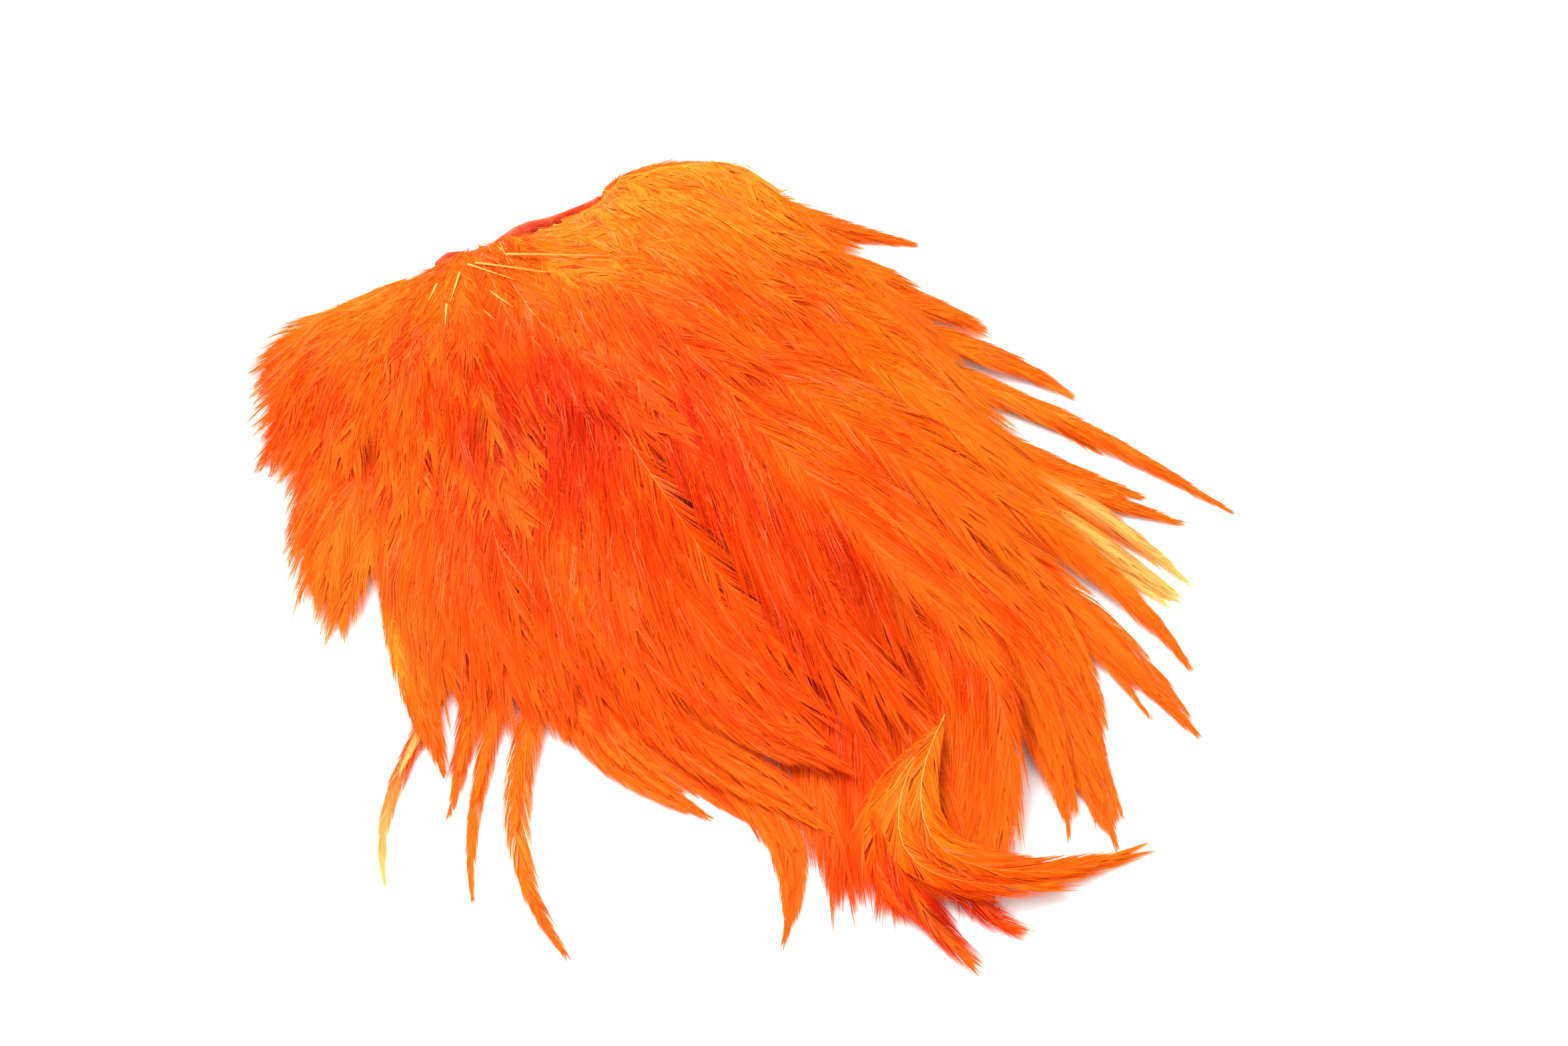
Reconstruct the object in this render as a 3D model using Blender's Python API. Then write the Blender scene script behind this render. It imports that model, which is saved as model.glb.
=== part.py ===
# A dyed rooster saddle hackle: a dried patch of skin with its saddle feathers still on it, lying on
# a table. The skin is one piece, and the feathers lie over it and round it in flat overlapping locks.
# Each lock is laid over whatever is under it, from the lowest and longest to the short ones on top.
# Run with: blender --background --python part.py

import math

import bmesh
import bpy
import numpy as np
from mathutils import Vector

MM = 0.001

# Skin, in millimetres
SKIN_THICKNESS = 1.5
SKIN_EDGE_RISE = 5.0  # the dried head-side edge curls up this far
SKIN_CURL_WIDTH = 12.0
SKIN_RING_INSETS = (0.0, 0.08, 0.2, 0.5)  # shares of the way from the outline to the middle

# Locks, in millimetres unless a share is named
STATIONS = 13  # cross-sections along a lock
LOCK_EDGE = 0.5  # thickness of a lock at its two long edges
GAP = 0.35  # clear space between a lock and what it lies on
CLOSE_ENOUGH = 0.01  # a lock that cuts into the pile by less than this is left as it is
SAFETY = 0.05  # added to every surface that a later lock lies on
ROOT_WIDTH = 0.30  # share of the full width at the quills
TIP_WIDTH = 0.10  # share of the full width at the tip
FULLEST = 0.55  # where along the lock it is widest
FIT_STEPS = 14  # rounds of raising a lock's underside where it would cut into the pile
SETTLE_STEPS = 4  # smoothing passes that turn the steps underneath into one stiff curve

# The table top is a grid of heights in small square cells, in millimetres
CELL = 0.5
TABLE_LOW = (-115.0, -215.0)
TABLE_HIGH = (195.0, 85.0)

# Colours of the plain solids: red, green, blue in linear light
SKIN_RED = (0.60, 0.035, 0.012, 1.0)
ORANGE = (1.0, 0.115, 0.008, 1.0)
GOLD = (1.0, 0.27, 0.015, 1.0)
RED_ORANGE = (0.87, 0.055, 0.006, 1.0)
PALE = (1.0, 0.62, 0.18, 1.0)

# The skin's outline, clockwise from its left corner
SKIN_OUTLINE = [
    (-44, 10), (-40, 17), (-34, 21), (-28, 23), (-22, 29), (-15, 33), (-6, 37), (4, 42), (16, 45),
    (27, 42), (37, 32), (45, 17), (50, 0), (51, -18), (47, -36), (37, -48), (22, -54),
    (6, -55), (-10, -51), (-24, -41), (-35, -26), (-42, -11), (-46, 1),
]

# Each lock: name, the four points of its curve seen from above (quills, two handles, tip),
# greatest width, greatest thickness, colour. They are in the order in which they are laid.
LOCKS = [
    # Longest feathers of the tail side, right of the middle
    ("right_lock_1", (47, -22), (90, -26), (118, -46), (146.5, -55.5), 13, 1.8, ORANGE),
    ("right_lock_2", (47, -26), (98, -38), (130, -57), (156, -63.5), 12, 1.6, ORANGE),
    ("right_pale_lock_1", (46, -31), (98, -42), (136, -58), (156, -82), 10, 1.6, PALE),
    ("right_pale_lock_2", (45, -36), (98, -46), (135, -70), (152, -87.5), 12, 1.6, PALE),
    ("right_lock_3", (44, -41), (98, -50), (137, -79), (154.5, -108), 13, 1.6, ORANGE),
    ("right_lock_4", (38, -47), (96, -53), (132, -98), (157.5, -130), 14, 1.6, ORANGE),
    ("right_lock_5", (34, -49), (94, -61), (128, -97), (132, -134), 17, 1.8, ORANGE),
    ("right_lock_6", (30, -51), (88, -67), (124, -109), (134, -160), 18, 1.8, ORANGE),
    ("right_lock_7", (26, -52), (82, -69), (118, -109), (122, -157), 18, 1.8, ORANGE),
    # Bunch that sweeps down to the lower right and curls at its end
    ("bunch_lock_1", (10, -53), (40, -84), (70, -120), (67, -180), 20, 2.0, RED_ORANGE),
    ("bunch_lock_2", (16, -53), (54, -80), (86, -121), (77, -183), 21, 2.0, RED_ORANGE),
    ("bunch_lock_3", (20, -53), (66, -76), (104, -120), (91, -178), 20, 2.0, RED_ORANGE),
    ("bunch_lock_4", (24, -53), (78, -72), (120, -118), (104, -177), 22, 2.0, ORANGE),
    ("bunch_tip_1", (10, -49), (68, -79), (70, -179), (101, -193), 12, 1.8, ORANGE),
    ("bunch_tip_2", (16, -49), (82, -73), (72, -173), (111, -183), 14, 1.8, RED_ORANGE),
    # Feathers of the lower edge that sweep to the right
    ("sweeping_lock_1", (-6, -51), (-6, -105), (4, -135), (34, -151), 16, 1.8, ORANGE),
    ("sweeping_lock_2", (-1, -52), (-4, -141), (74, -128), (53, -188), 11, 1.8, ORANGE),
    ("sweeping_lock_3", (1, -51), (2, -121), (38, -132), (66, -158), 18, 2.0, ORANGE),
    ("sweeping_lock_4", (4, -51), (14, -103), (36, -124), (70, -142), 20, 2.0, RED_ORANGE),
    # Single feathers that stand clear of the lower edge
    ("pale_feather", (-28, -35), (-16, -121), (-54, -133), (-43, -172), 6, 1.4, PALE),
    ("short_lower_feather", (-25, -39), (-20, -75), (-24, -118), (-29, -151), 9, 1.6, ORANGE),
    ("thin_lower_feather", (-22, -42), (-3, -95), (-27, -138), (-21, -175), 6, 1.4, ORANGE),
    ("curved_lower_feather", (-17, -45), (13, -103), (-38, -141), (1, -190), 8, 1.6, GOLD),
    ("lower_lock", (-11, -47), (-14, -77), (-9, -105), (-1, -131), 18, 1.8, RED_ORANGE),
    # Left flank, from the lower edge up
    ("golden_lock", (-30, -29), (-47, -53), (-47, -98), (-31, -143), 22, 2.0, GOLD),
    ("left_lock_1", (-33, -23), (-49, -41), (-61, -69), (-60, -101), 19, 1.8, ORANGE),
    ("left_lock_2", (-38, -11), (-55, -27), (-67, -55), (-69, -92), 17, 1.8, ORANGE),
    ("left_lock_3", (-40, -6), (-54, -13), (-67, -33), (-73, -58), 17, 1.8, ORANGE),
    ("left_lock_4", (-41, -1), (-52, -6), (-68, -22), (-80, -43), 18, 1.8, ORANGE),
    ("left_lock_5", (-41, 3), (-52, -1), (-71, -14), (-85, -31), 17, 1.8, ORANGE),
    ("left_lock_6", (-40, 4), (-52, 1), (-71, -5), (-88, -18), 13, 1.8, GOLD),
    # Right-hand upper side
    ("upper_right_lock_1", (47, -13), (80, -5), (112, -18), (135.5, -41), 7, 1.6, ORANGE),
    ("upper_right_feather", (46, -10), (92, -8), (135, -35), (171, -62), 7, 1.6, ORANGE),
    ("upper_right_lock_2", (44, -1), (80, 1), (108, -8), (130, -23), 14, 1.6, ORANGE),
    ("upper_right_lock_3", (40, 8), (68, 12), (90, 8), (107, -1), 14, 1.8, ORANGE),
    ("upper_right_lock_4", (33, 20), (52, 24), (71, 21), (88, 11), 14, 1.8, ORANGE),
    ("upper_right_wisp", (24, 33), (48, 39), (70, 34), (89, 29.5), 6, 1.6, ORANGE),
    ("top_edge_lock_1", (12, 36), (28, 43), (52, 38.5), (72, 29.5), 15, 1.8, ORANGE),
    ("top_edge_lock_2", (2, 40), (12, 49), (24, 56), (38, 51.5), 13, 1.8, GOLD),
    # Middle layer, whose tips end on the longer feathers
    ("middle_lock_1", (-28, -7), (-44, -35), (-44, -75), (-32, -113), 26, 2.0, RED_ORANGE),
    ("middle_lock_2", (-21, -11), (-30, -45), (-26, -85), (-14, -121), 26, 2.0, RED_ORANGE),
    ("middle_lock_3", (-13, -13), (-14, -51), (0, -93), (24, -125), 26, 2.0, RED_ORANGE),
    ("middle_lock_4", (-5, -13), (2, -51), (24, -91), (56, -127), 27, 2.0, RED_ORANGE),
    ("middle_lock_5", (3, -11), (20, -47), (52, -85), (82, -128), 27, 2.0, RED_ORANGE),
    ("middle_lock_6", (10, -7), (34, -39), (72, -71), (104, -116), 27, 2.0, ORANGE),
    ("middle_lock_7", (16, -1), (44, -23), (82, -49), (118, -88), 26, 2.0, ORANGE),
    ("middle_lock_8", (20, 7), (48, -9), (86, -29), (121, -60), 24, 1.8, ORANGE),
    ("middle_lock_9", (22, 16), (48, 5), (76, -9), (105, -32), 22, 1.8, ORANGE),
    ("middle_lock_10", (20, 24), (42, 18), (66, 9), (89, -7), 20, 1.8, ORANGE),
    ("bunch_curled_feather", (92, -128), (72, -178), (106, -178), (141, -161), 15, 1.8, GOLD),
    # Short webby feathers of the head side, on top
    ("head_lock_1", (-38, 8), (-50, 1), (-66, -14), (-77, -36), 19, 1.8, GOLD),
    ("head_lock_2", (-37, 10), (-48, -5), (-58, -24), (-62, -52), 21, 1.8, ORANGE),
    ("head_lock_3", (-34, 13), (-42, -7), (-46, -34), (-43, -68), 23, 1.8, ORANGE),
    ("head_lock_4", (-31, 15), (-30, -7), (-26, -38), (-14, -74), 23, 1.8, ORANGE),
    ("head_lock_5", (-28, 17), (-16, -1), (2, -28), (26, -60), 23, 1.8, GOLD),
    ("head_lock_6", (-22, 21), (-4, 9), (20, -14), (50, -42), 23, 1.8, GOLD),
    ("head_lock_7", (-15, 26), (5, 18), (34, 2), (64, -20), 22, 1.8, GOLD),
    ("head_lock_8", (-6, 30), (16, 27), (42, 16), (68, 2), 20, 1.8, GOLD),
    ("head_lock_9", (4, 34), (22, 34), (46, 28), (66, 16), 18, 1.8, GOLD),
]


def clear_scene():
    for old in list(bpy.data.objects):
        bpy.data.objects.remove(old, do_unlink=True)


def make_material(name, colour):
    material = bpy.data.materials.new(name)
    material.use_nodes = True
    shader = material.node_tree.nodes["Principled BSDF"]
    shader.inputs["Base Color"].default_value = colour
    shader.inputs["Roughness"].default_value = 0.55
    shader.inputs["Metallic"].default_value = 0.0
    return material


def add_object(name, bm, material):
    """Puts the finished bmesh in the scene as one smooth-shaded object."""
    bmesh.ops.recalc_face_normals(bm, faces=bm.faces)
    mesh = bpy.data.meshes.new(name)
    bm.to_mesh(mesh)
    bm.free()
    mesh.shade_smooth()
    mesh.set_sharp_from_angle(angle=math.radians(50))
    mesh.materials.append(material)
    item = bpy.data.objects.new(name, mesh)
    bpy.context.scene.collection.objects.link(item)
    return item


class Pile:
    """Heights of what already lies on the table, so that the next lock can be laid on it."""

    def __init__(self):
        self.low = np.array(TABLE_LOW)
        self.shape = tuple(np.ceil((np.array(TABLE_HIGH) - self.low) / CELL).astype(int))
        self.height = np.full(self.shape, -GAP)  # so that the first locks touch the table

    def cells(self, points):
        index = np.floor((points - self.low) / CELL).astype(int)
        return tuple(np.clip(index[..., k], 0, self.shape[k] - 1) for k in (0, 1))

    def raise_to(self, points, heights):
        np.maximum.at(self.height, self.cells(points), heights)

    def spread(self):
        """Each cell's height or a neighbour's, whichever is more."""
        padded = np.pad(self.height, 1, mode="edge")
        rows, columns = self.shape
        around = [padded[i:i + rows, j:j + columns] for i in range(3) for j in range(3)]
        return np.max(around, axis=0)


class Patch:
    """A four-cornered patch of a surface seen from above, with sample points all over it."""

    def __init__(self, plan):
        a, b, c, d = plan
        sides = [np.linalg.norm(q - p) for p, q in ((a, b), (b, c), (c, d), (d, a))]
        count = [max(3, math.ceil(max(sides[k], sides[k + 2]) / (0.6 * CELL))) for k in (0, 1)]
        u, v = (grid.ravel() for grid in np.meshgrid(*(np.linspace(0, 1, n) for n in count)))
        self.share = np.stack([(1 - u) * (1 - v), u * (1 - v), u * v, (1 - u) * v])
        self.points = self.share.T @ np.array(plan)
        zero = np.zeros_like(u)
        near = u >= v
        first = np.stack([1 - np.maximum(u, v), np.where(near, u - v, zero), np.minimum(u, v),
                          np.where(near, zero, v - u)])
        near = u + v <= 1
        second = np.stack([np.where(near, 1 - u - v, zero), np.where(near, u, 1 - v),
                           np.where(near, zero, u + v - 1), np.where(near, v, 1 - u)])
        self.folds = first, second  # the patch may be split along either diagonal

    def heights(self, corner_heights, pick):
        return pick(*(np.array(corner_heights) @ fold for fold in self.folds))


def lock_spine(root, handle_1, handle_2, tip):
    """Points evenly spaced along the curve, and the direction to the left of each."""
    t = np.linspace(0, 1, 200)[:, None]
    p0, p1, p2, p3 = (np.array(p, float) for p in (root, handle_1, handle_2, tip))
    curve = (1 - t) ** 3 * p0 + 3 * (1 - t) ** 2 * t * p1 + 3 * (1 - t) * t ** 2 * p2 + t ** 3 * p3
    steps = np.linalg.norm(np.diff(curve, axis=0), axis=1)
    along = np.concatenate([[0], np.cumsum(steps)])
    even = np.linspace(0, along[-1], STATIONS)
    points = np.stack([np.interp(even, along, curve[:, k]) for k in (0, 1)], 1)
    ahead = np.gradient(points, axis=0)
    ahead /= np.linalg.norm(ahead, axis=1)[:, None]
    return points, np.stack([-ahead[:, 1], ahead[:, 0]], 1)


def share_of_width(s):
    """Narrow at the quills, widest at FULLEST, then drawn in to the tip."""
    if s < FULLEST:
        return ROOT_WIDTH + (1 - ROOT_WIDTH) * math.sin(0.5 * math.pi * s / FULLEST)
    rest = (s - FULLEST) / (1 - FULLEST)
    return TIP_WIDTH + (1 - TIP_WIDTH) * math.cos(0.5 * math.pi * rest) ** 0.8


def share_of_thickness(s):
    return 0.35 + 0.65 * math.sin(math.pi * min(1.0, 0.08 + 0.92 * s)) ** 0.7


def rest_on(pile, patches):
    """Low heights for a lock's underside that keep all of it clear of the pile."""
    under = pile.spread()
    wanted = [under[pile.cells(patch.points)] + GAP for _, patch in patches]
    z = np.zeros((STATIONS, 3))
    for step in range(FIT_STEPS + 1):
        for (corners, patch), want in zip(patches, wanted):
            now = np.array([z[c] for c in corners])
            short = want - patch.heights(now, np.minimum)
            worst = int(np.argmax(short))
            if short[worst] < CLOSE_ENOUGH:
                continue
            below = np.maximum(want[worst] - now, 0)
            share = min((fold[:, worst] for fold in patch.folds), key=lambda fold: fold @ now)
            lift = below * short[worst] / (share @ below)
            if step == FIT_STEPS:
                lift = np.maximum(want.max() - now, 0)
            for corner, more in zip(corners, lift):
                z[corner] += more
    return z


def settle(needed):
    """A stiff curve over the heights that are needed: it spans the dips and is never below them."""
    heights = needed.copy()
    for _ in range(SETTLE_STEPS):
        middle = 0.25 * (heights[:-2] + 2 * heights[1:-1] + heights[2:])
        heights[1:-1] = np.maximum(needed[1:-1], middle)
    return heights


def lay_lock(pile, curve, width, thickness):
    """Rings of six points: left, middle and right underneath, then right, middle and left on top."""
    points, left = lock_spine(*curve)
    shares = np.linspace(0, 1, STATIONS)
    half = np.array([0.5 * width * share_of_width(s) for s in shares])[:, None]
    plan = np.stack([points + half * left, points, points - half * left], 1)
    patches = []
    for i in range(STATIONS - 1):
        for k in (0, 1):
            corners = [(i, k), (i, k + 1), (i + 1, k + 1), (i + 1, k)]
            patches.append((corners, Patch([plan[c] for c in corners])))

    bottom = settle(rest_on(pile, patches))
    top = bottom + LOCK_EDGE
    top[:, 1] = bottom[:, 1] + [max(LOCK_EDGE, thickness * share_of_thickness(s)) for s in shares]
    for corners, patch in patches:
        pile.raise_to(patch.points, patch.heights([top[c] for c in corners], np.maximum) + SAFETY)

    order = [(0, bottom), (1, bottom), (2, bottom), (2, top), (1, top), (0, top)]
    return [[Vector((*plan[i, k], z[i, k])) * MM for k, z in order] for i in range(STATIONS)]


def build_lock(name, rings, material):
    """A closed blade through the rings. Its warped faces are split, so that it has one shape only."""
    bm = bmesh.new()
    loops = []
    for ring in rings:
        verts = [bm.verts.new(p) for p in ring]
        loops.append([bm.edges.new((verts[k], verts[(k + 1) % len(verts)])) for k in range(len(verts))])
    for first, second in zip(loops, loops[1:]):
        bmesh.ops.bridge_loops(bm, edges=first + second)
    bmesh.ops.edgeloop_fill(bm, edges=loops[0])
    bmesh.ops.edgeloop_fill(bm, edges=loops[-1])
    bmesh.ops.triangulate(bm, faces=bm.faces)
    return add_object(name, bm, material)


def skin_rise(point):
    """How far the skin is lifted there: it curls up along its head-side edge."""
    edge = [np.array(p, float) for p in SKIN_OUTLINE[:8]]
    nearest = 1e9
    for a, b in zip(edge, edge[1:]):
        along = np.clip(np.dot(point - a, b - a) / np.dot(b - a, b - a), 0, 1)
        nearest = min(nearest, np.linalg.norm(point - a - along * (b - a)))
    share = max(0.0, 1 - nearest / SKIN_CURL_WIDTH)
    return SKIN_EDGE_RISE * share * share


def build_skin(pile, material):
    """A sheet of rings that shrink towards its middle, with a flat underside and a curled edge."""
    outline = np.array(SKIN_OUTLINE, float)
    middle = outline.mean(axis=0)
    plans = [outline + (middle - outline) * inset for inset in SKIN_RING_INSETS]
    rises = [[skin_rise(p) for p in plan] for plan in plans]
    bm = bmesh.new()
    sheets = [[[bm.verts.new(Vector((*p, z + lift)) * MM) for p, z in zip(plan, rise)]
               for plan, rise in zip(plans, rises)] for lift in (0.0, SKIN_THICKNESS)]
    count = len(outline)
    pairs = [(k, (k + 1) % count) for k in range(count)]
    for rings in sheets:
        for outer, inner in zip(rings, rings[1:]):
            for k, following in pairs:
                bm.faces.new((outer[k], outer[following], inner[following], inner[k]))
        bm.faces.new(rings[-1])
    for k, following in pairs:
        lower, upper = sheets[0][0], sheets[1][0]
        bm.faces.new((lower[k], lower[following], upper[following], upper[k]))

    plans.append([middle] * count)
    rises.append([0.0] * count)
    for ring in range(len(plans) - 1):
        for k, following in pairs:
            corners = (ring, k), (ring, following), (ring + 1, following), (ring + 1, k)
            patch = Patch([plans[r][n] for r, n in corners])
            heights = [rises[r][n] + SKIN_THICKNESS for r, n in corners]
            pile.raise_to(patch.points, patch.heights(heights, np.maximum) + SAFETY)
    return add_object("skin", bm, material)


def main():
    clear_scene()
    pile = Pile()
    build_skin(pile, make_material("dried_skin", SKIN_RED))
    materials = {
        ORANGE: make_material("orange_feather", ORANGE),
        GOLD: make_material("golden_feather", GOLD),
        RED_ORANGE: make_material("red_orange_feather", RED_ORANGE),
        PALE: make_material("pale_feather", PALE),
    }
    for name, *curve, width, thickness, colour in LOCKS:
        rings = lay_lock(pile, curve, width, thickness)
        build_lock(name, rings, materials[colour])


main()
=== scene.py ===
# A dyed rooster saddle hackle on a white table. Every lock of the frame becomes a bundle of single
# feathers, each with its quill and all its barbs, draped over the locks that lie under it. The skin
# gets its dried, rolled edge, short feathers hide its top, and a few bare quills show beside it.
import math

import bmesh
import bpy
import numpy as np
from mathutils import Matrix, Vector
from mathutils.bvhtree import BVHTree


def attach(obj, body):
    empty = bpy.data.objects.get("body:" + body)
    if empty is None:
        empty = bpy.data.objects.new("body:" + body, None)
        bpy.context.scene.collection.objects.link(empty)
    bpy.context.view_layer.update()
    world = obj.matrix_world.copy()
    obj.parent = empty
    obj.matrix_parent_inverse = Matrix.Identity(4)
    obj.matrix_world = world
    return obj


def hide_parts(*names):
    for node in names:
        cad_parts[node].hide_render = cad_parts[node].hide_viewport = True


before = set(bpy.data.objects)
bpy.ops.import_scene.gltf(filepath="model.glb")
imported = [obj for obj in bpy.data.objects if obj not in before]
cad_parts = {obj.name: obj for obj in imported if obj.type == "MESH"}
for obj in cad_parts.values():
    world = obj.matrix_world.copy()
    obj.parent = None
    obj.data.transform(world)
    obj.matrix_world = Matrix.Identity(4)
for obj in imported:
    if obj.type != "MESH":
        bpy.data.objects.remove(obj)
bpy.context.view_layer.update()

mm = 0.001  # plan sizes below are in millimetres, the frame is in metres
rng = np.random.default_rng(7)


# Camera: looks along +Y and down, as the photograph does

camera = {
    "aim": (53, -63, 0),  # mm, the point on the table at the middle of the picture
    "elevation": 55,  # degrees above the table
    "distance": 957,  # mm
    "lens": 85,  # mm on a 36 mm wide sensor
}


def cameraPlace():  # in mm
    slope = math.radians(camera["elevation"])
    return Vector(camera["aim"]) + Vector((0, -math.cos(slope), math.sin(slope))) * camera["distance"]


def makeCamera():
    data = bpy.data.cameras.new("camera")
    data.lens = camera["lens"]
    data.sensor_width = 36
    data.clip_start, data.clip_end = 0.05, 10
    item = bpy.data.objects.new("camera", data)
    item.location = cameraPlace() * mm
    item.rotation_euler = (Vector(camera["aim"]) - cameraPlace()).to_track_quat("-Z", "Y").to_euler()
    bpy.context.scene.collection.objects.link(item)
    bpy.context.scene.camera = item


# Shader helpers

def hexColour(text):
    parts = [int(text[i:i + 2], 16) / 255 for i in (1, 3, 5)]
    return [c / 12.92 if c <= 0.04045 else ((c + 0.055) / 1.055) ** 2.4 for c in parts] + [1.0]


def addNode(tree, kind, inputs=None, **settings):  # inputs holds values or the sockets to link
    node = tree.nodes.new(kind)
    for name, value in settings.items():
        setattr(node, name, value)
    for name, value in (inputs or {}).items():
        if isinstance(value, bpy.types.NodeSocket):
            tree.links.new(value, node.inputs[name])
        else:
            node.inputs[name].default_value = value
    return node


def setRamp(node, stops):
    elements = node.color_ramp.elements
    while len(elements) < len(stops):
        elements.new(0.5)
    for element, (place, colour) in zip(elements, stops):
        element.position = place
        element.color = hexColour(colour)


def newMaterial(name):
    material = bpy.data.materials.new(name)
    material.use_nodes = True
    material.node_tree.nodes.clear()
    return material, material.node_tree


def readAttribute(tree, word):
    return addNode(tree, "ShaderNodeAttribute", attribute_name=word).outputs["Fac"]


def combine(tree, operation, a, b):
    return addNode(tree, "ShaderNodeMath", {0: a, 1: b}, operation=operation).outputs[0]


def spreadAround(tree, value, amount):  # a value round 0.5 becomes a change of that amount round 0
    return combine(tree, "MULTIPLY", combine(tree, "SUBTRACT", value, 0.5), amount)


def between(tree, value, low, high, top=1.0):  # smooth step from low to high
    step = addNode(tree, "ShaderNodeMapRange", {
        "Value": value, "From Min": low, "From Max": high, "To Max": top}, interpolation_type="SMOOTHSTEP")
    return step.outputs[0]


def mixColours(tree, share, a, b):
    return addNode(tree, "ShaderNodeMix", {0: share, 6: a, 7: b}, data_type="RGBA").outputs[2]


# Floor and light: white paper under soft studio light

studio = {
    "floorColour": "#FDFDFD",
    "floorSize": 4.0,  # m
    "skyStrength": 0.86,
    "keyPower": 30,  # W
    "keySize": 1.0,  # m
    "fillPower": 4,
}


def makeStudio():
    bm = bmesh.new()
    bmesh.ops.create_grid(bm, x_segments=1, y_segments=1, size=studio["floorSize"] / 2)
    mesh = bpy.data.meshes.new("floor")
    bm.to_mesh(mesh)
    bm.free()
    floor = bpy.data.objects.new("floor", mesh)
    bpy.context.scene.collection.objects.link(floor)
    material, tree = newMaterial("whitePaper")
    grain = addNode(tree, "ShaderNodeTexNoise", {"Scale": 900, "Detail": 2})
    bump = addNode(tree, "ShaderNodeBump", {
        "Height": grain.outputs["Fac"], "Strength": 0.05, "Distance": 0.2 * mm})
    shader = addNode(tree, "ShaderNodeBsdfPrincipled", {
        "Base Color": hexColour(studio["floorColour"]), "Roughness": 0.9, "Normal": bump.outputs["Normal"]})
    addNode(tree, "ShaderNodeOutputMaterial", {"Surface": shader.outputs[0]})
    mesh.materials.append(material)

    world = bpy.data.worlds.new("studioSky")
    world.use_nodes = True
    sky = world.node_tree.nodes["Background"]
    sky.inputs["Color"].default_value = hexColour("#FFFFFF")
    sky.inputs["Strength"].default_value = studio["skyStrength"]
    bpy.context.scene.world = world
    bpy.context.scene.view_settings.view_transform = "Standard"
    bpy.context.scene.cycles.diffuse_bounces = 2  # more of them can't be seen in the feathers and take long

    for name, power, place in (("keyLight", studio["keyPower"], (-0.55, 0.45, 1.1)),
                               ("fillLight", studio["fillPower"], (0.9, -0.5, 0.9))):
        data = bpy.data.lights.new(name, "AREA")
        data.size = studio["keySize"]
        data.energy = power
        light = bpy.data.objects.new(name, data)
        light.location = place
        light.rotation_euler = (-Vector(place)).to_track_quat("-Z", "Y").to_euler()
        bpy.context.scene.collection.objects.link(light)


# Dyed barbs: keratin that took up orange dye. It is satin, a little see-through, deeper where the
# barbs lie thick. A few strands get a painted highlight in salmon pink, and a few get painted shade in dark
# red.

barbLook = {
    "stops": ((0.0, "#CC1E02"), (0.25, "#F83E06"), (0.5, "#FF680C"), (0.75, "#FF8A12"), (1.0, "#FFB434")),
    "blotch": 24,  # mm, size of the uneven patches that the dye left
    "blotchAmount": 0.4,
    "strandAmount": 0.36,  # from barb to barb
    "clumpAmount": 0.16,  # from one cluster of barbs to the next
    # painted highlight: salmon pink on some strands, standing in for glints on glossy barbs
    "paintedHighlight": "#FF8E66",
    # painted shade: dark red on the darkest few strands, standing in for the shade between barbs
    "paintedShadeBetweenBarbs": "#A81C06",
    "barbules": 0.35,  # mm, the fringe on each barb, drawn coarser than it is so that it shows
    "roughness": 0.42,
    "seeThrough": 0.5,
}


def makeBarbMaterial(name, tipColour, tipStart, tipAmount):
    material, tree = newMaterial(name)
    place = addNode(tree, "ShaderNodeTexCoord").outputs["Object"]
    clump = readAttribute(tree, "clump")
    blotch = addNode(tree, "ShaderNodeTexNoise", {
        "Vector": place, "Scale": 1000 / barbLook["blotch"], "Detail": 1, "Roughness": 0.6}).outputs["Fac"]
    strand = readAttribute(tree, "strand")
    tone = readAttribute(tree, "tint")
    for value, amount in ((blotch, "blotchAmount"), (strand, "strandAmount"), (clump, "clumpAmount")):
        tone = combine(tree, "ADD", tone, spreadAround(tree, value, barbLook[amount]))
    ramp = addNode(tree, "ShaderNodeValToRGB", {"Fac": tone})
    setRamp(ramp, barbLook["stops"])
    colour = ramp.outputs["Color"]
    # Painted highlight: salmon-pink streaks on some strands of a few clumps, in place of glints on glossy
    # barbs
    highlightClumps = between(tree, clump, 0.7, 0.95, 0.6)
    paintedHighlightShare = combine(tree, "MULTIPLY", highlightClumps, between(tree, strand, 0.4, 0.9))
    colour = mixColours(tree, paintedHighlightShare, colour, hexColour(barbLook["paintedHighlight"]))
    # Painted shade: the darkest few strands turn dark red, in place of the shadows between barbs
    colour = mixColours(tree, between(tree, strand, 0.1, 0.03, 0.6), colour, hexColour(barbLook["paintedShadeBetweenBarbs"]))
    tip = between(tree, readAttribute(tree, "along"), tipStart, 1.0, tipAmount)
    colour = mixColours(tree, tip, colour, hexColour(tipColour))
    barbules = addNode(tree, "ShaderNodeTexNoise", {
        "Vector": place, "Scale": 1000 / barbLook["barbules"], "Detail": 0})
    bump = addNode(tree, "ShaderNodeBump", {
        "Height": barbules.outputs["Fac"], "Strength": 0.3, "Distance": 0.05 * mm})
    surface = addNode(tree, "ShaderNodeBsdfPrincipled", {
        "Base Color": colour, "Roughness": barbLook["roughness"], "IOR": 1.54, "Specular IOR Level": 0.22,
        "Specular Tint": hexColour("#FF9A68"), "Normal": bump.outputs["Normal"]})
    glow = addNode(tree, "ShaderNodeBsdfTranslucent", {"Color": colour})
    both = addNode(tree, "ShaderNodeMixShader", {
        0: barbLook["seeThrough"], 1: surface.outputs[0], 2: glow.outputs[0]})
    addNode(tree, "ShaderNodeOutputMaterial", {"Surface": both.outputs[0]})
    return material


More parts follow.
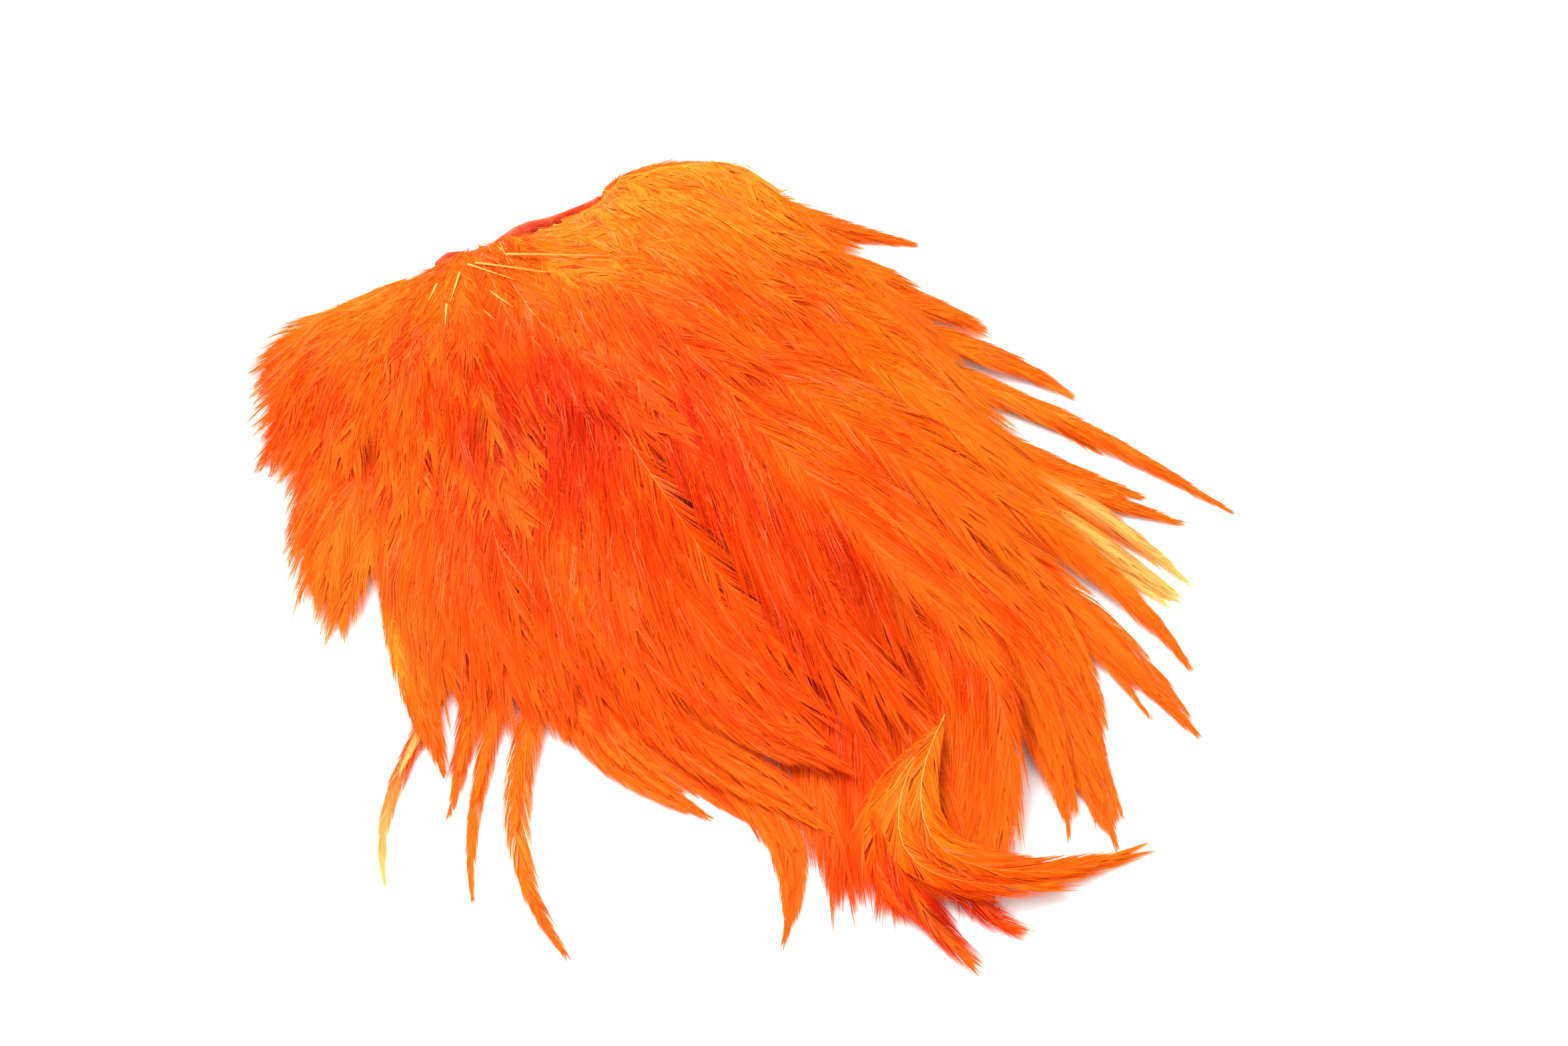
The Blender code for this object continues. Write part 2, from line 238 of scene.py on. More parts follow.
def makeQuillMaterial():  # horn-like keratin, pale golden where it leaves the skin, smoother than the barbs
    material, tree = newMaterial("dyedQuill")
    place = addNode(tree, "ShaderNodeTexCoord").outputs["Object"]
    fibres = addNode(tree, "ShaderNodeTexNoise", {"Vector": place, "Scale": 700, "Detail": 3})
    horn = addNode(tree, "ShaderNodeValToRGB", {"Fac": fibres.outputs["Fac"]})
    setRamp(horn, ((0.3, "#E08E22"), (0.7, "#EEA83C")))
    colour = mixColours(tree, between(tree, readAttribute(tree, "along"), 0.1, 0.9), horn.outputs["Color"],
                        hexColour("#FF7A10"))
    surface = addNode(tree, "ShaderNodeBsdfPrincipled", {
        "Base Color": colour, "Roughness": 0.3, "IOR": 1.54, "Coat Weight": 0.15})
    addNode(tree, "ShaderNodeOutputMaterial", {"Surface": surface.outputs[0]})
    return material


# Feather shapes, in millimetres and degrees. A hackle is long and narrow with barbs that lie almost
# along its quill, a saddle feather is broader, and a webby one is short, broad and soft.

featherStyles = {
    "hackle": {
        "halfWidth": 4.4, "bare": 0.05, "barbStep": 0.4, "barbWidth": 0.23, "rootAngle": 22, "tipAngle": 8,
        "clump": 4, "clumpPull": 0.25, "wave": 0.2, "droop": 0.5, "lift": 0.3, "quill": 0.2,
        "pointed": 0.4, "taper": 1.25, "tipWidth": 0.08, "ragged": 0.05, "fluff": 0.22,
    },
    "saddle": {
        "halfWidth": 7.5, "bare": 0.05, "barbStep": 0.36, "barbWidth": 0.23, "rootAngle": 24, "tipAngle": 9,
        "clump": 5, "clumpPull": 0.4, "wave": 0.4, "droop": 0.5, "lift": 0.3, "quill": 0.2,
        "pointed": 0.5, "taper": 1.4, "tipWidth": 0.3, "ragged": 0.16, "fluff": 0.25,
    },
    "webby": {
        "halfWidth": 6.0, "bare": 0.03, "barbStep": 0.34, "barbWidth": 0.24, "rootAngle": 32, "tipAngle": 12,
        "clump": 6, "clumpPull": 0.6, "wave": 1.1, "droop": 0.5, "lift": 0.5, "quill": 0.2,
        "pointed": 0.5, "taper": 1.4, "tipWidth": 0.3, "ragged": 0.16, "fluff": 0.45,
    },
    "blunt": {
        "halfWidth": 6.0, "bare": 0.05, "barbStep": 0.36, "barbWidth": 0.24, "rootAngle": 20, "tipAngle": 8,
        "clump": 5, "clumpPull": 0.4, "wave": 0.3, "droop": 0.5, "lift": 0.3, "quill": 0.2,
        "pointed": 0.65, "taper": 1.5, "tipWidth": 0.3, "ragged": 0.14, "fluff": 0.25,
    },
    "broad": {
        "halfWidth": 7.6, "bare": 0.02, "barbStep": 0.26, "barbWidth": 0.28, "rootAngle": 19, "tipAngle": 7,
        "clump": 8, "clumpPull": 0.2, "wave": 0.1, "droop": 0.8, "lift": 0.3, "quill": 0.35,
        "pointed": 0.25, "taper": 0.9, "tipWidth": 0.1, "ragged": 0.02, "fluff": 0.12,
    },
}

# Each lock, as in the part and in the order in which they lie on each other: name, its curve seen
# from above (mm), width (mm), feather style, how many feathers, material slot
locks = [
    # Longest feathers of the tail side, right of the middle
    ("right_lock_1", (47, -22), (90, -26), (118, -46), (146.5, -55.5), 13, "hackle", 10, "orange_feather"),
    ("right_lock_2", (47, -26), (98, -38), (130, -57), (156, -63.5), 12, "hackle", 10, "orange_feather"),
    ("right_pale_lock_1", (46, -31), (98, -42), (136, -58), (156, -82), 10, "hackle", 9, "pale_feather"),
    ("right_pale_lock_2", (45, -36), (98, -46), (135, -70), (152, -87.5), 12, "hackle", 9, "pale_feather"),
    ("right_lock_3", (44, -41), (98, -50), (139, -77), (154.5, -107.5), 13, "hackle", 10, "orange_feather"),
    ("right_lock_4", (38, -47), (96, -53), (132, -98), (157.5, -130), 14, "hackle", 10, "orange_feather"),
    ("right_lock_5", (34, -49), (94, -61), (128, -97), (132, -134), 17, "hackle", 10, "orange_feather"),
    ("right_lock_6", (30, -51), (88, -67), (124, -109), (134, -160), 18, "hackle", 10, "orange_feather"),
    ("right_lock_7", (26, -52), (83, -68), (120, -108), (122.5, -157), 14, "hackle", 10, "orange_feather"),
    # Bunch that sweeps down to the lower right and curls at its end
    ("bunch_lock_1", (10, -53), (40, -84), (70, -120), (67, -180), 20, "blunt", 9, "red_orange_feather"),
    ("bunch_lock_2", (16, -53), (54, -80), (86, -121), (77, -183), 21, "blunt", 9, "red_orange_feather"),
    ("bunch_lock_3", (20, -53), (66, -76), (104, -120), (91, -178), 20, "blunt", 9, "red_orange_feather"),
    ("bunch_lock_4", (24, -53), (78, -72), (118, -118), (99, -177), 16, "blunt", 9, "orange_feather"),
    ("bunch_tip_1", (10, -49), (68, -79), (70, -179), (101, -193), 12, "hackle", 3, "orange_feather"),
    ("bunch_tip_2", (16, -49), (82, -73), (72, -173), (111, -183), 14, "hackle", 3, "red_orange_feather"),
    # Feathers of the lower edge that sweep to the right
    ("sweeping_lock_1", (-6, -51), (-6, -105), (4, -135), (34, -151), 16, "hackle", 9, "orange_feather"),
    ("sweeping_lock_2", (-1, -52), (-4, -141), (71, -128), (52, -188), 11, "hackle", 9, "orange_feather"),
    ("sweeping_lock_3", (1, -51), (2, -121), (38, -132), (66, -158), 18, "hackle", 9, "orange_feather"),
    ("sweeping_lock_4", (4, -51), (14, -103), (36, -124), (70, -142), 20, "hackle", 9, "red_orange_feather"),
    # Single feathers that stand clear of the lower edge
    ("pale_feather", (-28, -35), (-16, -121), (-54, -133), (-43, -172), 6, "hackle", 2, "pale_feather"),
    ("short_lower_feather", (-25, -39), (-20, -75), (-24, -118), (-29, -151),
     9, "hackle", 3, "orange_feather"),
    ("thin_lower_feather", (-22, -42), (-4, -95), (-29, -138), (-22, -175), 6, "hackle", 2, "orange_feather"),
    ("curved_lower_feather", (-17, -45), (15, -103), (-36, -141), (1.5, -190),
     8, "hackle", 2, "golden_feather"),
    ("lower_lock", (-11, -47), (-14, -77), (-9, -105), (-1, -131), 18, "hackle", 9, "red_orange_feather"),
    # Left flank, from the lower edge up
    ("golden_lock", (-30, -29), (-51, -50), (-46, -95), (-30, -142), 19, "hackle", 11, "golden_feather"),
    ("left_lock_1", (-33, -23), (-49, -41), (-61, -69), (-60, -101), 19, "webby", 9, "orange_feather"),
    ("left_lock_2", (-38, -11), (-55, -27), (-67, -55), (-69, -92), 17, "webby", 9, "orange_feather"),
    ("left_lock_3", (-40, -6), (-54, -13), (-67, -33), (-73, -58), 17, "webby", 9, "orange_feather"),
    ("left_lock_4", (-41, -1), (-52, -6), (-68, -22), (-80, -43), 18, "webby", 9, "orange_feather"),
    ("left_lock_5", (-41, 3), (-52, -1), (-71, -14), (-85, -31), 17, "webby", 9, "orange_feather"),
    ("left_lock_6", (-40, 4), (-52, 1), (-71, -5), (-88, -18), 13, "webby", 9, "golden_feather"),
    # Right-hand upper side
    ("upper_right_lock_1", (47, -13), (80, -5), (112, -18), (135.5, -41), 7, "hackle", 7, "orange_feather"),
    ("upper_right_feather", (46, -10), (92, -8), (135, -34), (171, -61.5), 7, "hackle", 4, "orange_feather"),
    ("upper_right_lock_2", (44, -1), (80, 1), (108, -8), (130, -23), 14, "hackle", 7, "orange_feather"),
    ("upper_right_lock_3", (40, 8), (68, 12), (90, 8), (107, -1), 14, "hackle", 7, "orange_feather"),
    ("upper_right_lock_4", (33, 20), (52, 24), (71, 21), (88, 11), 14, "hackle", 7, "orange_feather"),
    ("upper_right_wisp", (24, 33), (48, 39), (70, 34), (89, 29.5), 6, "hackle", 4, "orange_feather"),
    ("top_edge_lock_1", (12, 36), (28, 43), (52, 38.5), (72, 29.5), 15, "webby", 9, "orange_feather"),
    ("top_edge_lock_2", (2, 40), (12, 49.5), (23, 56), (36, 50), 13, "webby", 9, "golden_feather"),
    # Middle layer, whose tips end on the longer feathers
    ("middle_lock_1", (-28, -7), (-44, -35), (-44, -75), (-32, -113), 26, "saddle", 8, "red_orange_feather"),
    ("middle_lock_2", (-21, -11), (-30, -45), (-26, -85), (-14, -121), 26, "saddle", 8, "red_orange_feather"),
    ("middle_lock_3", (-13, -13), (-14, -51), (0, -93), (24, -125), 26, "saddle", 8, "red_orange_feather"),
    ("middle_lock_4", (-5, -13), (2, -51), (24, -91), (56, -127), 27, "saddle", 8, "red_orange_feather"),
    ("middle_lock_5", (3, -11), (20, -47), (52, -85), (82, -128), 27, "saddle", 8, "red_orange_feather"),
    ("middle_lock_6", (10, -7), (34, -39), (72, -71), (104, -116), 27, "saddle", 8, "orange_feather"),
    ("middle_lock_7", (16, -1), (44, -23), (82, -49), (118, -88), 26, "saddle", 8, "orange_feather"),
    ("middle_lock_8", (20, 7), (48, -9), (86, -29), (121, -60), 24, "saddle", 8, "orange_feather"),
    ("middle_lock_9", (22, 16), (48, 5), (76, -9), (105, -32), 22, "saddle", 8, "orange_feather"),
    ("middle_lock_10", (20, 24), (42, 18), (66, 9), (89, -7), 20, "saddle", 8, "orange_feather"),
    ("bunch_curled_feather", (92, -128), (72, -175), (106, -177), (143, -159),
     10, "broad", 3, "golden_feather"),
    # Short webby feathers of the head side, on top
    ("head_lock_1", (-38, 8), (-50, 1), (-66, -14), (-77, -36), 19, "webby", 13, "golden_feather"),
    ("head_lock_2", (-37, 10), (-48, -5), (-58, -24), (-62, -52), 21, "webby", 13, "orange_feather"),
    ("head_lock_3", (-34, 13), (-42, -7), (-46, -34), (-43, -68), 23, "webby", 13, "orange_feather"),
    ("head_lock_4", (-31, 15), (-30, -7), (-26, -38), (-14, -74), 23, "webby", 13, "orange_feather"),
    ("head_lock_5", (-28, 17), (-16, -1), (2, -28), (26, -60), 23, "webby", 13, "golden_feather"),
    ("head_lock_6", (-22, 21), (-4, 9), (20, -14), (50, -42), 23, "webby", 13, "golden_feather"),
    ("head_lock_7", (-15, 26), (5, 18), (34, 2), (64, -20), 22, "webby", 13, "golden_feather"),
    ("head_lock_8", (-6, 30), (16, 27), (42, 16), (68, 2), 20, "webby", 13, "golden_feather"),
    ("head_lock_9", (4, 34), (22, 34), (46, 28), (66, 16), 18, "webby", 13, "golden_feather"),
]

widest = 0.55  # where along a lock it is widest, as in the part


def shareOfWidth(s):
    root = 0.45 + 0.55 * np.sin(0.5 * np.pi * np.minimum(s, widest) / widest)
    rest = np.clip((s - widest) / (1 - widest), 0, 1)
    tip = 0.10 + 0.90 * np.cos(0.5 * np.pi * rest) ** 0.8
    return np.where(s < widest, root, tip)


def evenCurve(root, handle1, handle2, tip):  # 200 evenly spaced points and the direction to their left
    t = np.linspace(0, 1, 400)[:, None]
    p0, p1, p2, p3 = (np.array(p, float) for p in (root, handle1, handle2, tip))
    curve = (1 - t) ** 3 * p0 + 3 * (1 - t) ** 2 * t * p1 + 3 * (1 - t) * t ** 2 * p2 + t ** 3 * p3
    arc = np.concatenate([[0], np.cumsum(np.linalg.norm(np.diff(curve, axis=0), axis=1))])
    even = np.linspace(0, arc[-1], 200)
    points = np.stack([np.interp(even, arc, curve[:, k]) for k in (0, 1)], 1)
    ahead = np.gradient(points, axis=0)
    ahead /= np.linalg.norm(ahead, axis=1)[:, None]
    return points, np.stack([-ahead[:, 1], ahead[:, 0]], 1)


# Pile: how high the skin and the locks reach, in millimetres, over cells of 1 mm seen from above

pileLow = np.array([-120, -220])
pileCells = (320, 310)


def addToPile(pile, name):
    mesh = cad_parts[name].data
    verts = [v.co / mm for v in mesh.vertices]
    tree = BVHTree.FromPolygons(verts, [list(polygon.vertices) for polygon in mesh.polygons])
    places = np.array(verts)[:, :2] - pileLow
    low, high = np.floor(places.min(axis=0)).astype(int), np.ceil(places.max(axis=0)).astype(int)
    for i in range(low[0], high[0] + 1):
        for j in range(low[1], high[1] + 1):
            hit = tree.ray_cast(Vector((*(pileLow + (i, j)), 200)), Vector((0, 0, -1)))[0]
            if hit is not None:
                pile[i, j] = max(pile[i, j], hit.z)


def softened(values, passes):  # spreads each value over its neighbours, in both directions of a grid
    for axis in [k for _ in range(passes) for k in range(values.ndim)]:
        near = np.concatenate([np.take(values, [0], axis), values, np.take(values, [-1], axis)], axis)
        count = values.shape[axis]
        parts = [np.take(near, range(k, k + count), axis) for k in range(3)]
        values = 0.25 * parts[0] + 0.5 * parts[1] + 0.25 * parts[2]
    return values


def heightOf(ground, x, y):
    i, j = np.clip(x - pileLow[0], 0, pileCells[0] - 1.01), np.clip(y - pileLow[1], 0, pileCells[1] - 1.01)
    i0, j0 = np.floor(i).astype(int), np.floor(j).astype(int)
    a, b = i - i0, j - j0
    return ((1 - a) * (1 - b) * ground[i0, j0] + a * (1 - b) * ground[i0 + 1, j0]
            + (1 - a) * b * ground[i0, j0 + 1] + a * b * ground[i0 + 1, j0 + 1])


# One feather: a quill that follows the pile, and barbs on both its sides

quillPoints = 16


def unit(vectors):
    return vectors / np.linalg.norm(vectors, axis=-1, keepdims=True)


def quillPath(plan, ground, lift):
    return np.column_stack([plan, softened(heightOf(ground, plan[:, 0], plan[:, 1]), 2) + lift])


def lockPlan(curve, left, width, first, last, rootSide, tipSide, bow):
    q = np.linspace(0, 1, quillPoints)
    s = first + (last - first) * q
    index = np.linspace(0, 1, len(curve))
    plan = np.stack([np.interp(s, index, curve[:, k]) for k in (0, 1)], 1)
    side = np.stack([np.interp(s, index, left[:, k]) for k in (0, 1)], 1)
    before = np.minimum(s, 0)[:, None] * len(curve) * (curve[1] - curve[0])  # straight on past both ends
    before = before + np.maximum(s - 1, 0)[:, None] * len(curve) * (curve[-1] - curve[-2])
    across = (rootSide * (1 - q) + tipSide * q) * 0.5 * width * shareOfWidth(s) + bow * np.sin(np.pi * q)
    return plan + before + side * across[:, None]


def readAlong(path, arc, places):  # points and directions at arc lengths; straight on past the tip
    inside = np.clip(places, 0, arc[-1])
    ahead = unit(np.gradient(path, axis=0))
    point = np.stack([np.interp(inside, arc, path[:, k]) for k in range(3)], -1)
    tangent = unit(np.stack([np.interp(inside, arc, ahead[:, k]) for k in range(3)], -1))
    return point + tangent * (places - inside)[..., None], tangent


barbStops = np.array([0.0, 0.5, 1.0])  # where along a barb its points are
barbTaper = np.array([1.0, 0.85])  # share of its width at each but the last
strayShare = 0.015  # barbs that have come loose from their feather
longestBarb = 24  # mm along the quill


def growBarbs(path, style, scale, side, ground):
    arc = np.concatenate([[0], np.cumsum(np.linalg.norm(np.diff(path, axis=0), axis=1))])
    length = arc[-1]
    count = int(length * (1 - style["bare"]) / style["barbStep"])
    nudge = rng.uniform(-0.3, 0.3, count) + 0.5
    share = style["bare"] + (1 - style["bare"]) * (np.arange(count) + nudge) / count
    opened = np.clip((share - style["bare"]) / 0.2, 0, 1) ** 0.6
    toTip = np.clip((share - style["pointed"]) / (1 - style["pointed"]), 0, 1)
    narrowed = 1 - (1 - style["tipWidth"]) * toTip ** style["taper"]
    reach = style["halfWidth"] * scale * (0.3 + 0.7 * opened) * narrowed

    clump = np.cumsum(rng.random(count) < 1 / style["clump"])
    groups = clump[-1] + 1
    middle = np.bincount(clump, share, groups) / np.maximum(np.bincount(clump, minlength=groups), 1)
    stray = rng.random(count) < strayShare
    turn = rng.normal(0, 2.0, groups)[clump] + rng.normal(0, 1.0, count) + stray * rng.normal(0, 14, count)
    angle = np.radians(style["rootAngle"] + (style["tipAngle"] - style["rootAngle"]) * share ** 0.7 + turn)
    angle = np.maximum(angle, np.radians(5))
    reach = reach * (1 + style["ragged"] * (rng.normal(0, 1, groups)[clump] + rng.normal(0, 0.6, count)))
    forward = np.minimum(reach / np.tan(angle), longestBarb)
    rise = rng.normal(0, style["fluff"], groups)[clump] + rng.normal(0, 0.1, count)
    rise = rise + stray * rng.uniform(0, 1.5, count)
    phase = rng.uniform(0, 2 * np.pi, groups)[clump] + rng.normal(0, 0.3, count)

    t = barbStops[None, :]
    pull = style["clumpPull"] * (middle[clump] - share)[:, None] * length * t ** 2
    sway = style["wave"] * np.sin(phase[:, None] + 5.0 * t) * t
    places = (share * length)[:, None] + forward[:, None] * (0.72 * t + 0.28 * t ** 2) + pull + 0.5 * sway
    across = reach[:, None] * t * (1.35 - 0.35 * t) + 0.6 * sway
    arch = style["lift"] * np.sin(np.pi * t) - style["droop"] * t ** 2
    height = arch * (reach / style["halfWidth"])[:, None] + rise[:, None] * t

    base, tangent = readAlong(path, arc, places)
    toLeft = unit(np.stack([-tangent[..., 1], tangent[..., 0], np.zeros_like(places)], -1))
    up = np.cross(tangent, toLeft)
    centre = base + toLeft * (side * across)[..., None] + up * height[..., None]
    floor = heightOf(ground, centre[..., 0], centre[..., 1])
    loose = 1.4 + 1.5 * stray[:, None]
    centre[..., 2] = np.maximum(np.clip(centre[..., 2], floor - 0.2, floor + loose), 0.12)
    run = unit(np.gradient(centre, axis=1))
    flat = unit(np.cross(up, run))
    roll = rng.normal(0, 0.3, count)[:, None, None]
    flat = flat * np.cos(roll) + up * np.sin(roll)
    half = 0.5 * style["barbWidth"] * (1 + rng.normal(0, 0.2, count))[:, None] * barbTaper
    edge = flat[:, :2] * half[..., None]
    pairs = np.stack([centre[:, :2] - edge, centre[:, :2] + edge], 2).reshape(count, 4, 3)
    points = np.concatenate([pairs, centre[:, 2:]], 1)

    columns = (np.arange(count)[:, None] + np.array([0, 1, 0, 1, 0.5])) / count
    rows = side * np.tile(barbStops[[0, 0, 1, 1, 2]], (count, 1))
    return {
        "points": points.reshape(-1, 3),
        "along": np.repeat(share, 5),
        "strand": np.repeat(rng.random(count), 5),
        "clump": np.repeat(rng.random(groups)[clump], 5),
        "u": columns.ravel(),
        "v": (np.sign(side) * 0.07 + 0.9 * rows).ravel(),
        "count": count,
    }


def barbFaces(start, count):
    first = start + 5 * np.arange(count)[:, None]
    return (first + np.array([0, 1, 3, 2])).tolist() + (first + np.array([2, 3, 4])).tolist()


def growQuill(path, thickness):  # a ridge of two long strips that narrows to the tip
    q = np.linspace(0, 1, len(path))
    radius = (0.5 * thickness * (1 - 0.7 * q))[:, None]
    ahead = unit(np.gradient(path, axis=0))
    toLeft = unit(np.column_stack([-ahead[:, 1], ahead[:, 0], np.zeros(len(path))]))
    up = np.cross(ahead, toLeft)
    points = np.stack([path - toLeft * radius, path + up * radius * 1.2, path + toLeft * radius], 1)
    return points.reshape(-1, 3), q


def quillFaces(start, count):
    first = start + 3 * np.arange(count - 1)[:, None]
    return np.concatenate([first + np.array([0, 3, 4, 1]), first + np.array([1, 4, 5, 2])]).tolist()


# Where the tint changes by place: x, y (mm), reach (mm), change of tint from 0 (deep red) to 1 (golden). The
# deep zones at the bunch's tip are painted shade of the gap there.
tintAndShadeZones = [
    (30, 33, 34, 0.36), (-8, 8, 26, 0.18), (60, 10, 30, 0.16), (-62, 2, 26, 0.2), (-55, -80, 22, 0.14),
    (-28, -36, 22, -0.2), (0, -55, 26, -0.26), (42, -35, 24, -0.06), (20, -85, 24, -0.1),
    (75, -95, 26, -0.18), (95, -150, 16, 0.08), (105, -32, 34, 0.28), (145, -70, 26, 0.25),
    # The zones at (70, -170), (88, -181) and (100, -184) are painted shade of the gap at the bunch's tip
    (60, -55, 14, 0.14), (48, -118, 16, -0.12), (70, -170, 8, -0.3), (88, -181, 10, -0.45),
    (100, -184, 8, -0.3), (74, -140, 9, -0.2), (-14, -155, 26, 0.22), (-47, -112, 13, 0.3),
]


def tintAt(points):
    tint = np.full(len(points), 0.48)
    for x, y, reach, change in tintAndShadeZones:
        tint += change * np.exp(-((points[:, 0] - x) ** 2 + (points[:, 1] - y) ** 2) / reach ** 2)
    return tint


def joinedMesh(name, points, faces, attributes):  # hundreds of barbs or quills at once, from arrays
    mesh = bpy.data.meshes.new(name)
    mesh.from_pydata((points * mm).tolist(), [], faces)
    for word, values in attributes.items():
        mesh.attributes.new(word, "FLOAT", "POINT").data.foreach_set("value", values.astype(np.float32))
    return mesh


def unwrapFeathers(mesh, uv):  # one row of the picture for each feather
    corner = np.empty(len(mesh.loops), np.int32)
    mesh.loops.foreach_get("vertex_index", corner)
    flat = np.clip(uv, 0, 1).astype(np.float32)[corner]
    mesh.uv_layers.new(name="OFBake").data.foreach_set("uv", flat.ravel())


def addPiece(mesh, itsMaterials):
    for material in itsMaterials:
        mesh.materials.append(material)
    mesh.shade_smooth()
    item = bpy.data.objects.new(mesh.name, mesh)
    bpy.context.scene.collection.objects.link(item)
    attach(item, "root")
    return item


def growFeathers(name, feathers, ground, slotName):  # feathers are (path, style, scale, change of tint)
    parts, faces, which = [], [], []
    total = 0
    for i, (path, style, scale, tint) in enumerate(feathers):
        row = (i + 0.5) / len(feathers)
        for side in (-1, 1):
            barbs = growBarbs(path, style, scale, side, ground)
            faces += barbFaces(total, barbs["count"])
            barbs["v"] = row + 0.5 / len(feathers) * barbs["v"]
            barbs["tint"] = tintAt(barbs["points"]) + tint
            parts.append(barbs)
            total += len(barbs["points"])
        which += [0] * (len(faces) - len(which))
        points, q = growQuill(path, style["quill"])
        faces += quillFaces(total, len(path))
        golden = rng.random() < 0.15 or tint > 0.15  # most quills took the barbs' colour
        which += [int(golden)] * (len(faces) - len(which))
        half = np.full(len(points), 0.5)
        acrossRow = np.tile([-0.05, 0, 0.05], len(path))
        parts.append({
            "points": points, "along": np.repeat(q, 3), "strand": half, "clump": half, "u": np.repeat(q, 3),
            "v": row + 0.5 / len(feathers) * acrossRow, "tint": tintAt(points) + tint})
        total += len(points)
    joined = {word: np.concatenate([part[word] for part in parts])
              for word in ("points", "along", "strand", "clump", "tint", "u", "v")}
    attributes = {word: joined[word] for word in ("along", "strand", "clump", "tint")}
    mesh = joinedMesh(name, joined["points"], faces, attributes)
    unwrapFeathers(mesh, np.column_stack([joined["u"], joined["v"]]))
    item = addPiece(mesh, (materials[slotName], materials["quill"]))
    mesh.polygons.foreach_set("material_index", np.array(which, np.int32))
    return item, sum(len(face) - 2 for face in faces)


# Locks whose feathers lie as one fan, with the passes of softening that make it even
sharedLayers = {"left": 30, "middle": 32, "head": 26}
edgeLocks = (  # seen against the table
    "left_lock_6", "top", "upper", "right_lock_1", "right_lock_2", "right_pale", "right_lock_3",
    "right_lock_4", "pale", "short", "thin", "curved", "bunch_curled",
)


def groundUnder(layer, name, pile, shared):
    if layer not in sharedLayers:
        addToPile(pile, name)
        return softened(pile, 14)
    if layer not in shared:
        for lock in layerLocks(layer):
            addToPile(pile, lock[0])
        shared[layer] = softened(pile, sharedLayers[layer])
    return shared[layer]


def layerLocks(layer):
    return [lock for lock in locks if lock[0].startswith(layer)]


def feathersCurve(lock, layer, offset):  # in a fan, a feather lies anywhere between its lock and the next
    own = np.array(lock[1:5], float)
    if layer not in sharedLayers:
        return evenCurve(*own)
    fan = layerLocks(layer)
    beside = min(max(fan.index(lock) + (1 if offset > 0 else -1), 0), len(fan) - 1)
    return evenCurve(*(own + abs(offset) * (np.array(fan[beside][1:5], float) - own)))


# Single feathers beside a lock, in the same bundle: the four points of each curve (mm)
looseFeathers = {
    "right_pale_lock_2": [
        ((45, -37), (98, -47), (133, -73), (150, -89)),
        ((45, -35), (98, -44), (135, -69), (153, -86)),
    ],
    "bunch_curled_feather": [
        ((90, -130), (68, -168), (88, -177), (118, -172)),
        ((91, -131), (74, -152), (69, -168), (82, -177)),
    ],
    "right_lock_3": [
        ((44, -40), (100, -49), (140, -76), (154.5, -107)),
    ],
    "right_lock_4": [
        ((38, -47), (97, -52), (136.5, -89.5), (153.6, -122)),
        ((38, -47), (92, -58), (130, -96), (143.5, -122)),
    ],
    "left_lock_6": [
        ((-40, 7), (-52, 8), (-64, 4), (-78, -2.5)),
        ((-40, 8), (-50, 8), (-58, 6), (-68, 1)),
    ],
    "sweeping_lock_1": [
        ((-2, -51), (-2, -112), (18, -132), (52, -155)),
        ((-3, -51), (-3, -108), (10, -131), (44, -152)),
    ],
    "right_lock_6": [
        ((30, -51), (88, -67), (124, -105), (135.5, -151)),
        ((30, -51), (86, -68), (122, -108), (129, -153)),
    ],
    "right_lock_7": [
        ((26, -52), (84, -68), (120, -108), (124.5, -150)),
    ],
}
evenStep = 0.618034  # steps of this share spread any number of feathers evenly

# How a lock's feathers lie in it, for each layer or feather style
bundle = {
    "fill": {"left": 0.6, "middle": 0.6, "head": 0.75, "golden": 0.6, "bunch": 0.85},  # share of the width
    "full": {  # share of the lock's length that the longest quill takes, because its barbs reach past it
        "left": 0.91, "top": 0.95, "webby": 0.95, "blunt": 0.92, "broad": 0.94},
    "shorter": {"bunch": 0.1, "head": 0.4, "right": 0.16, "upper": 0.16},  # how much less the top one takes
    "tips": (0.3, 0.995),  # both for the tips under the bunch
    "golden": 0.2,  # change of tint of the curled feather
}


